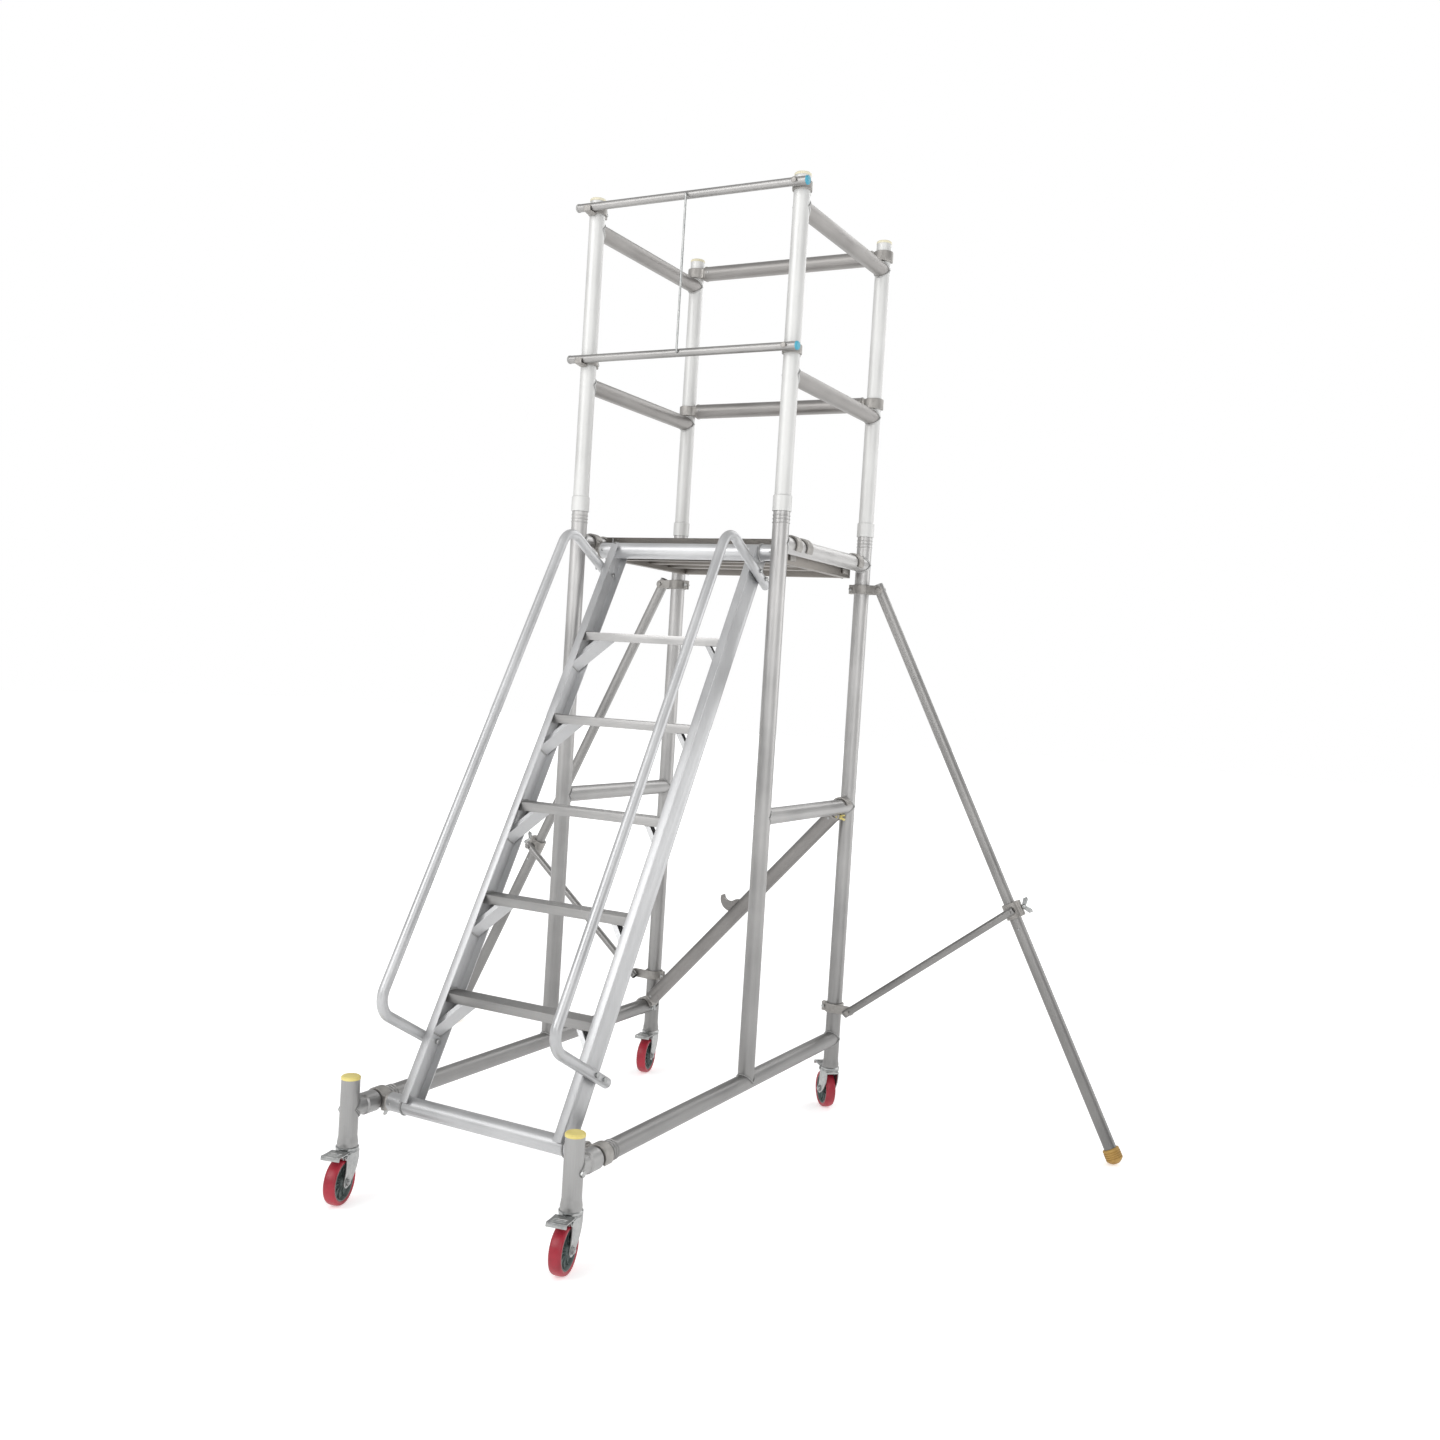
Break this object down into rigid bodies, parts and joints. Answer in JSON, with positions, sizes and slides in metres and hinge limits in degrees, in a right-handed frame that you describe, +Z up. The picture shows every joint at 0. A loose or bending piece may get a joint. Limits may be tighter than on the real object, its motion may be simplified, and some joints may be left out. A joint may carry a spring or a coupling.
{
  "type": "mobile work platform",
  "caption": "Wheeled aluminium access platform with a hook-on ladder, bent handrails, a caged deck with lift-up gate, and fold-in outriggers.",
  "frame": {"origin": "on the floor, under the middle of the overall box", "axes": "+X to the climber's right, +Y from the ladder's foot toward the deck, +Z up"},
  "size_m": [2.7188, 1.7891, 2.995],
  "materials": {
    "tube_aluminium": "satin mill finish",
    "bright_aluminium": "bright extruded",
    "cast_alloy": "rough cast",
    "zinc_steel": "zinc plated",
    "cap_plastic": "moulded",
    "gate_cap_plastic": "moulded",
    "plywood": "film-faced plywood",
    "foot_rubber": "moulded",
    "wheel_core": "moulded",
    "red_tyre": "polyurethane"
  },
  "bodies": {
    "frame": {"caster_stems": "zinc_steel", "deck_board": "plywood", "deck_frame": "bright_aluminium", "deck_hooks": "cast_alloy", "frame_bolts": "zinc_steel", "front_legs": "tube_aluminium", "gate_brackets": "cast_alloy", "handrails": "bright_aluminium", "joint_spigots": "tube_aluminium", "ladder_end_tubes": "tube_aluminium", "ladder_stringers": "bright_aluminium", "ladder_treads": "bright_aluminium", "left_guard_frame": "tube_aluminium", "left_side_frame": "tube_aluminium", "rear_brace": "tube_aluminium", "rear_guard_rails": "tube_aluminium", "right_guard_frame": "tube_aluminium", "right_side_frame": "tube_aluminium", "tread_brackets": "bright_aluminium", "tube_caps": "cap_plastic", "tube_claws": "cast_alloy"},
    "gate_upper": {"gate_upper_bar": "tube_aluminium", "gate_upper_plugs": "gate_cap_plastic"},
    "gate_lower": {"gate_lower_bar": "tube_aluminium", "gate_lower_plugs": "gate_cap_plastic"},
    "gate_link": {"gate_link_rod": "zinc_steel"},
    "brace_trigger_lower": {"brace_trigger_lower": "zinc_steel"},
    "brace_trigger_upper": {"brace_trigger_upper": "zinc_steel"},
    "ladder_trigger_left": {"ladder_trigger_left": "zinc_steel"},
    "ladder_trigger_right": {"ladder_trigger_right": "zinc_steel"},
    "left_swing": {"left_outrigger_couplers": "cast_alloy"},
    "left_leg": {"left_outrigger_upper_tube": "tube_aluminium"},
    "left_extension": {"left_outrigger_lower_tube": "tube_aluminium", "left_outrigger_foot": "foot_rubber", "left_outrigger_clamp": "cast_alloy"},
    "left_wing_bolt": {"left_outrigger_wing_bolt": "zinc_steel"},
    "left_strut": {"left_outrigger_strut": "tube_aluminium"},
    "right_swing": {"right_outrigger_couplers": "cast_alloy"},
    "right_leg": {"right_outrigger_upper_tube": "tube_aluminium"},
    "right_extension": {"right_outrigger_lower_tube": "tube_aluminium", "right_outrigger_foot": "foot_rubber", "right_outrigger_clamp": "cast_alloy"},
    "right_wing_bolt": {"right_outrigger_wing_bolt": "zinc_steel"},
    "right_strut": {"right_outrigger_strut": "tube_aluminium"},
    "front_left_swivel": {"front_left_caster_fork": "zinc_steel"},
    "front_left_wheel": {"front_left_caster_core": "wheel_core", "front_left_caster_tyre": "red_tyre"},
    "front_left_brake": {"front_left_caster_pedal": "zinc_steel"},
    "front_right_swivel": {"front_right_caster_fork": "zinc_steel"},
    "front_right_wheel": {"front_right_caster_core": "wheel_core", "front_right_caster_tyre": "red_tyre"},
    "front_right_brake": {"front_right_caster_pedal": "zinc_steel"},
    "rear_left_swivel": {"rear_left_caster_fork": "zinc_steel"},
    "rear_left_wheel": {"rear_left_caster_core": "wheel_core", "rear_left_caster_tyre": "red_tyre"},
    "rear_left_brake": {"rear_left_caster_pedal": "zinc_steel"},
    "rear_right_swivel": {"rear_right_caster_fork": "zinc_steel"},
    "rear_right_wheel": {"rear_right_caster_core": "wheel_core", "rear_right_caster_tyre": "red_tyre"},
    "rear_right_brake": {"rear_right_caster_pedal": "zinc_steel"}
  },
  "joints": [
    {"name": "gate_lift", "type": "hinge", "parent": "frame", "child": "gate_upper", "pos_m": [0.365, 0.0892, 2.955], "axis": [0, 1, 0], "range_deg": [0, 75]},
    {"name": "gate_lower_pivot", "type": "hinge", "parent": "frame", "child": "gate_lower", "pos_m": [0.365, 0.0892, 2.47], "axis": [0, 1, 0], "range_deg": [0, 75]},
    {"name": "gate_link_pivot", "type": "hinge", "parent": "gate_upper", "child": "gate_link", "pos_m": [0, 0.0892, 2.955], "axis": [0, 1, 0], "range_deg": [-75, 0]},
    {"name": "brace_trigger_lower_pivot", "type": "hinge", "parent": "frame", "child": "brace_trigger_lower", "pos_m": [-0.33028, 0.7462, 0.26313], "axis": [0, -1, 0], "range_deg": [0, 30]},
    {"name": "brace_trigger_upper_pivot", "type": "hinge", "parent": "frame", "child": "brace_trigger_upper", "pos_m": [0.35554, 0.7462, 1.02411], "axis": [0, 1, 0], "range_deg": [0, 30]},
    {"name": "ladder_trigger_left_pivot", "type": "hinge", "parent": "frame", "child": "ladder_trigger_left", "pos_m": [-0.332, -0.6788, 0.233], "axis": [0, -1, 0], "range_deg": [0, 30]},
    {"name": "ladder_trigger_right_pivot", "type": "hinge", "parent": "frame", "child": "ladder_trigger_right", "pos_m": [0.332, -0.6788, 0.233], "axis": [0, 1, 0], "range_deg": [0, 30]},
    {"name": "left_outrigger_swing", "type": "hinge", "parent": "frame", "child": "left_swing", "pos_m": [-0.365, 0.7992, 1.806], "axis": [0, 0, -1], "range_deg": [-40, 85]},
    {"name": "left_outrigger_fold", "type": "hinge", "parent": "left_swing", "child": "left_leg", "pos_m": [-0.43084, 0.8038, 1.806], "axis": [-0.0698, -0.9976, 0], "range_deg": [0, 24.88]},
    {"name": "left_extension_slide", "type": "slide", "parent": "left_leg", "child": "left_extension", "axis": [0.4511, -0.0315, 0.8919], "range_m": [0, 0.39]},
    {"name": "left_strut_fold", "type": "hinge", "parent": "left_swing", "child": "left_strut", "pos_m": [-0.43084, 0.8038, 0.358], "axis": [-0.0698, -0.9976, 0], "range_deg": [-50, 0]},
    {"name": "left_wing_bolt_turn", "type": "hinge", "parent": "left_extension", "child": "left_wing_bolt", "pos_m": [-0.9552, 0.84047, 0.76924], "axis": [-0.8897, 0.0622, 0.4522], "continuous": true},
    {"name": "right_outrigger_swing", "type": "hinge", "parent": "frame", "child": "right_swing", "pos_m": [0.365, 0.7992, 1.806], "axis": [0, 0, 1], "range_deg": [-40, 85]},
    {"name": "right_outrigger_fold", "type": "hinge", "parent": "right_swing", "child": "right_leg", "pos_m": [0.43084, 0.8038, 1.806], "axis": [-0.0698, 0.9976, 0], "range_deg": [0, 24.88]},
    {"name": "right_extension_slide", "type": "slide", "parent": "right_leg", "child": "right_extension", "axis": [-0.4511, -0.0315, 0.8919], "range_m": [0, 0.39]},
    {"name": "right_strut_fold", "type": "hinge", "parent": "right_swing", "child": "right_strut", "pos_m": [0.43084, 0.8038, 0.358], "axis": [-0.0698, 0.9976, 0], "range_deg": [-50, 0]},
    {"name": "right_wing_bolt_turn", "type": "hinge", "parent": "right_extension", "child": "right_wing_bolt", "pos_m": [0.9552, 0.84047, 0.76924], "axis": [0.8897, 0.0622, 0.4522], "continuous": true},
    {"name": "front_left_swivel_turn", "type": "hinge", "parent": "frame", "child": "front_left_swivel", "pos_m": [-0.365, -0.7958, 0.135], "axis": [0, 0, 1], "continuous": true},
    {"name": "front_left_wheel_spin", "type": "hinge", "parent": "front_left_swivel", "child": "front_left_wheel", "pos_m": [-0.3562, -0.82864, 0.0625], "axis": [0.9659, 0.2588, 0], "continuous": true},
    {"name": "front_left_brake_press", "type": "hinge", "parent": "front_left_swivel", "child": "front_left_brake", "pos_m": [-0.35413, -0.83637, 0.132], "axis": [0.9659, 0.2588, 0], "range_deg": [0, 10]},
    {"name": "front_right_swivel_turn", "type": "hinge", "parent": "frame", "child": "front_right_swivel", "pos_m": [0.365, -0.7958, 0.135], "axis": [0, 0, 1], "continuous": true},
    {"name": "front_right_wheel_spin", "type": "hinge", "parent": "front_right_swivel", "child": "front_right_wheel", "pos_m": [0.37207, -0.82906, 0.0625], "axis": [0.9781, 0.2079, 0], "continuous": true},
    {"name": "front_right_brake_press", "type": "hinge", "parent": "front_right_swivel", "child": "front_right_brake", "pos_m": [0.37373, -0.83688, 0.132], "axis": [0.9781, 0.2079, 0], "range_deg": [0, 10]},
    {"name": "rear_left_swivel_turn", "type": "hinge", "parent": "frame", "child": "rear_left_swivel", "pos_m": [-0.365, 0.7992, 0.135], "axis": [0, 0, 1], "continuous": true},
    {"name": "rear_left_wheel_spin", "type": "hinge", "parent": "rear_left_swivel", "child": "rear_left_wheel", "pos_m": [-0.35851, 0.76582, 0.0625], "axis": [0.9816, 0.1908, 0], "continuous": true},
    {"name": "rear_left_brake_press", "type": "hinge", "parent": "rear_left_swivel", "child": "rear_left_brake", "pos_m": [-0.35699, 0.75797, 0.132], "axis": [0.9816, 0.1908, 0], "range_deg": [0, 10]},
    {"name": "rear_right_swivel_turn", "type": "hinge", "parent": "frame", "child": "rear_right_swivel", "pos_m": [0.365, 0.7992, 0.135], "axis": [0, 0, 1], "continuous": true},
    {"name": "rear_right_wheel_spin", "type": "hinge", "parent": "rear_right_swivel", "child": "rear_right_wheel", "pos_m": [0.34181, 0.82407, 0.0625], "axis": [-0.7314, -0.682, 0], "continuous": true},
    {"name": "rear_right_brake_press", "type": "hinge", "parent": "rear_right_swivel", "child": "rear_right_brake", "pos_m": [0.33636, 0.82992, 0.132], "axis": [-0.7314, -0.682, 0], "range_deg": [0, 10]}
  ],
  "couplings": [
    {"joint": "gate_lower_pivot", "follows": "gate_lift", "ratio": 1},
    {"joint": "gate_link_pivot", "follows": "gate_lift", "ratio": -1},
    {"joint": "left_extension_slide", "follows": "left_outrigger_fold", "m_per_rad": 0.87667},
    {"joint": "left_strut_fold", "follows": "left_outrigger_fold", "ratio": -1.9939},
    {"joint": "right_extension_slide", "follows": "right_outrigger_fold", "m_per_rad": 0.87667},
    {"joint": "right_strut_fold", "follows": "right_outrigger_fold", "ratio": -1.9939}
  ]
}
